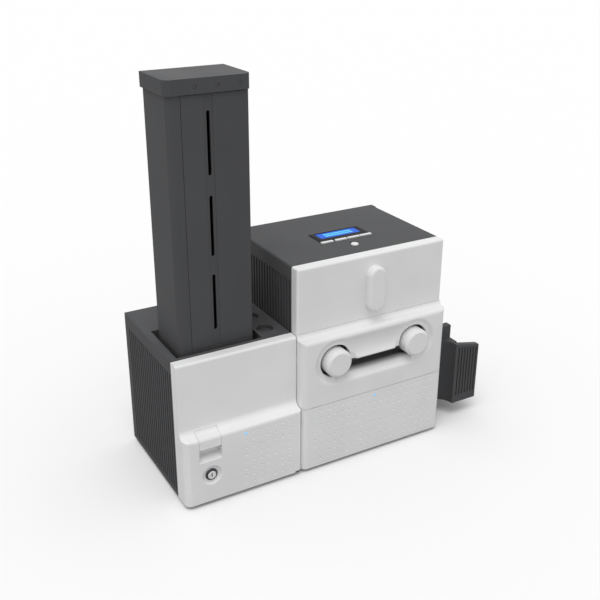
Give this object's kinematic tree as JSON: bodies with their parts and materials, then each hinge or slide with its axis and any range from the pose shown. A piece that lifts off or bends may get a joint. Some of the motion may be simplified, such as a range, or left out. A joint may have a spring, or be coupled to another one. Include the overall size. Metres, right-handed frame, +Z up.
{
  "type": "id card printer",
  "caption": "Desktop card printer with a hinged lid and display, a pull-out ribbon drawer, a card loading tower on a lockable module at its left and an open card bin at its right.",
  "frame": {"origin": "middle of the footprint's outer box, at the level the feet stand on", "axes": "+X to the object's right seen from the front, +Y to its back, +Z up"},
  "size_m": [0.5584, 0.2354, 0.6203],
  "materials": {
    "charcoal_plastic": "fine matte texture, moulded charcoal plastic",
    "white_plastic": "fine satin texture, moulded white plastic",
    "black_plastic": "glossy black plastic",
    "grey_plastic": "matte grey plastic",
    "display": "backlit blue display behind clear plastic",
    "led": "clear plastic lit light blue",
    "steel": "bright sheet steel",
    "motor_metal": "black painted steel",
    "supply_metal": "bare aluminium sheet",
    "circuit_board": "green glass fibre board",
    "rubber": "matte black rubber",
    "ribbon": "thin glossy dark film",
    "weight_metal": "dark coated iron"
  },
  "bodies": {
    "cabinet": {"printer_base": "charcoal_plastic", "left_cover": "charcoal_plastic", "right_cover": "charcoal_plastic", "rear_cover": "charcoal_plastic", "lower_front_panel": "white_plastic", "printer_led": "led", "printer_frame": "steel", "drive_motor": "motor_metal", "main_board": "circuit_board", "power_supply": "supply_metal", "fan_frame": "black_plastic", "power_inlet": "black_plastic", "hinge_pins": "steel", "feet": "rubber", "output_bin": "charcoal_plastic", "loader_base": "charcoal_plastic", "loader_cover": "charcoal_plastic", "loader_deck": "charcoal_plastic", "loader_frame": "steel", "tower_shell": "charcoal_plastic", "tower_cap": "charcoal_plastic", "cap_screws": "steel", "pick_motor": "motor_metal", "drive_belt": "rubber"},
    "lid": {"top_cover": "charcoal_plastic", "upper_front_panel": "white_plastic", "display_bezel": "black_plastic", "display_panel": "display", "usb_socket": "steel"},
    "drawer": {"drawer_front": "white_plastic", "drawer_tray": "grey_plastic", "ribbon_film": "ribbon"},
    "head": {"head_bracket": "steel", "thermal_head": "grey_plastic"},
    "front_door": {"front_door": "white_plastic", "lock_ring": "steel", "loader_led": "led"},
    "menu_key_1": {"menu_key_1": "white_plastic"},
    "menu_key_2": {"menu_key_2": "white_plastic"},
    "menu_key_3": {"menu_key_3": "white_plastic"},
    "menu_key_4": {"menu_key_4": "white_plastic"},
    "nav_button": {"nav_button": "white_plastic"},
    "port_cap": {"port_cap": "white_plastic"},
    "release_knob_left": {"release_knob_left": "white_plastic"},
    "release_knob_right": {"release_knob_right": "white_plastic"},
    "supply_spool": {"supply_spool": "grey_plastic"},
    "takeup_spool": {"takeup_spool": "grey_plastic"},
    "entry_roller": {"entry_roller": "rubber"},
    "platen_roller": {"platen_roller": "rubber"},
    "exit_roller": {"exit_roller": "rubber"},
    "entry_pinch_roller": {"entry_pinch_roller": "rubber"},
    "exit_pinch_roller": {"exit_pinch_roller": "rubber"},
    "motor_pulley": {"motor_pulley": "steel"},
    "fan_rotor": {"fan_rotor": "black_plastic"},
    "power_switch": {"power_switch": "black_plastic"},
    "door_latch": {"door_latch": "white_plastic"},
    "lock_barrel": {"lock_barrel": "steel"},
    "tower_door": {"tower_door": "charcoal_plastic"},
    "card_weight": {"card_weight": "weight_metal"},
    "pick_roller": {"pick_roller": "rubber"}
  },
  "joints": [
    {"name": "lid_hinge", "type": "hinge", "parent": "cabinet", "child": "lid", "pos_m": [0.04975, 0.1127, 0.335], "axis": [-1, 0, 0], "range_deg": [0, 65]},
    {"name": "port_cap_pull", "type": "slide", "parent": "lid", "child": "port_cap", "axis": [0, -1, 0], "range_m": [0, 0.03]},
    {"name": "menu_key_1_press", "type": "slide", "parent": "lid", "child": "menu_key_1", "axis": [0, 0, -1], "range_m": [0, 0.001], "stiffness_N_per_m": 400, "springref_m": -0.0005},
    {"name": "menu_key_2_press", "type": "slide", "parent": "lid", "child": "menu_key_2", "axis": [0, 0, -1], "range_m": [0, 0.001], "stiffness_N_per_m": 400, "springref_m": -0.0005},
    {"name": "menu_key_3_press", "type": "slide", "parent": "lid", "child": "menu_key_3", "axis": [0, 0, -1], "range_m": [0, 0.001], "stiffness_N_per_m": 400, "springref_m": -0.0005},
    {"name": "menu_key_4_press", "type": "slide", "parent": "lid", "child": "menu_key_4", "axis": [0, 0, -1], "range_m": [0, 0.001], "stiffness_N_per_m": 400, "springref_m": -0.0005},
    {"name": "nav_button_press", "type": "slide", "parent": "lid", "child": "nav_button", "axis": [0, 0, -1], "range_m": [0, 0.001], "stiffness_N_per_m": 400, "springref_m": -0.0005},
    {"name": "drawer_slide", "type": "slide", "parent": "cabinet", "child": "drawer", "axis": [0, -1, 0], "range_m": [0, 0.13]},
    {"name": "release_knob_left_press", "type": "slide", "parent": "drawer", "child": "release_knob_left", "axis": [0, 1, 0], "range_m": [0, 0.004], "stiffness_N_per_m": 400, "springref_m": -0.0005},
    {"name": "release_knob_right_press", "type": "slide", "parent": "drawer", "child": "release_knob_right", "axis": [0, 1, 0], "range_m": [0, 0.004], "stiffness_N_per_m": 400, "springref_m": -0.0005},
    {"name": "supply_spool_spin", "type": "hinge", "parent": "drawer", "child": "supply_spool", "pos_m": [-0.00425, -0.0163, 0.164], "axis": [0, 1, 0], "continuous": true},
    {"name": "takeup_spool_spin", "type": "hinge", "parent": "drawer", "child": "takeup_spool", "pos_m": [0.10375, -0.0163, 0.164], "axis": [0, 1, 0], "continuous": true},
    {"name": "head_lift_slide", "type": "slide", "parent": "cabinet", "child": "head", "axis": [0, 0, 1], "range_m": [0, 0.004]},
    {"name": "platen_roller_spin", "type": "hinge", "parent": "cabinet", "child": "platen_roller", "pos_m": [0.04975, -0.0163, 0.1074], "axis": [0, 1, 0], "continuous": true},
    {"name": "entry_roller_spin", "type": "hinge", "parent": "cabinet", "child": "entry_roller", "pos_m": [-0.07025, -0.0163, 0.1074], "axis": [0, 1, 0], "continuous": true},
    {"name": "exit_roller_spin", "type": "hinge", "parent": "cabinet", "child": "exit_roller", "pos_m": [0.16975, -0.0163, 0.1074], "axis": [0, 1, 0], "continuous": true},
    {"name": "motor_pulley_spin", "type": "hinge", "parent": "cabinet", "child": "motor_pulley", "pos_m": [0.10575, 0.0147, 0.052], "axis": [0, 1, 0], "continuous": true},
    {"name": "entry_pinch_spin", "type": "hinge", "parent": "cabinet", "child": "entry_pinch_roller", "pos_m": [-0.07025, -0.0163, 0.1226], "axis": [0, 1, 0], "continuous": true},
    {"name": "exit_pinch_spin", "type": "hinge", "parent": "cabinet", "child": "exit_pinch_roller", "pos_m": [0.16975, -0.0163, 0.1226], "axis": [0, 1, 0], "continuous": true},
    {"name": "fan_spin", "type": "hinge", "parent": "cabinet", "child": "fan_rotor", "pos_m": [0.00575, 0.1057, 0.186], "axis": [0, 1, 0], "continuous": true},
    {"name": "power_switch_rock", "type": "hinge", "parent": "cabinet", "child": "power_switch", "pos_m": [0.08575, 0.1037, 0.086], "axis": [1, 0, 0], "range_deg": [0, 16]},
    {"name": "front_door_hinge", "type": "hinge", "parent": "cabinet", "child": "front_door", "pos_m": [-0.09025, -0.1027, 0.119], "axis": [0, 0, 1], "range_deg": [0, 90]},
    {"name": "door_latch_pull", "type": "hinge", "parent": "front_door", "child": "door_latch", "pos_m": [-0.238, -0.09313, 0.11875], "axis": [-1, 0, 0], "range_deg": [0, 20]},
    {"name": "lock_turn", "type": "hinge", "parent": "front_door", "child": "lock_barrel", "pos_m": [-0.23695, -0.0963, 0.051], "axis": [0, 1, 0], "range_deg": [0, 90]},
    {"name": "tower_door_hinge", "type": "hinge", "parent": "cabinet", "child": "tower_door", "pos_m": [-0.14345, -0.0533, 0.416], "axis": [0, 0, 1], "range_deg": [0, 105]},
    {"name": "card_weight_slide", "type": "slide", "parent": "cabinet", "child": "card_weight", "axis": [0, 0, 1], "range_m": [0, 0.44]},
    {"name": "pick_roller_spin", "type": "hinge", "parent": "cabinet", "child": "pick_roller", "pos_m": [-0.19925, -0.0163, 0.1072], "axis": [0, 1, 0], "continuous": true}
  ],
  "couplings": [
    {"joint": "entry_roller_spin", "follows": "platen_roller_spin", "ratio": 1},
    {"joint": "exit_roller_spin", "follows": "platen_roller_spin", "ratio": 1},
    {"joint": "motor_pulley_spin", "follows": "platen_roller_spin", "ratio": 1},
    {"joint": "entry_pinch_spin", "follows": "platen_roller_spin", "ratio": -1.3333},
    {"joint": "exit_pinch_spin", "follows": "platen_roller_spin", "ratio": -1.3333}
  ]
}
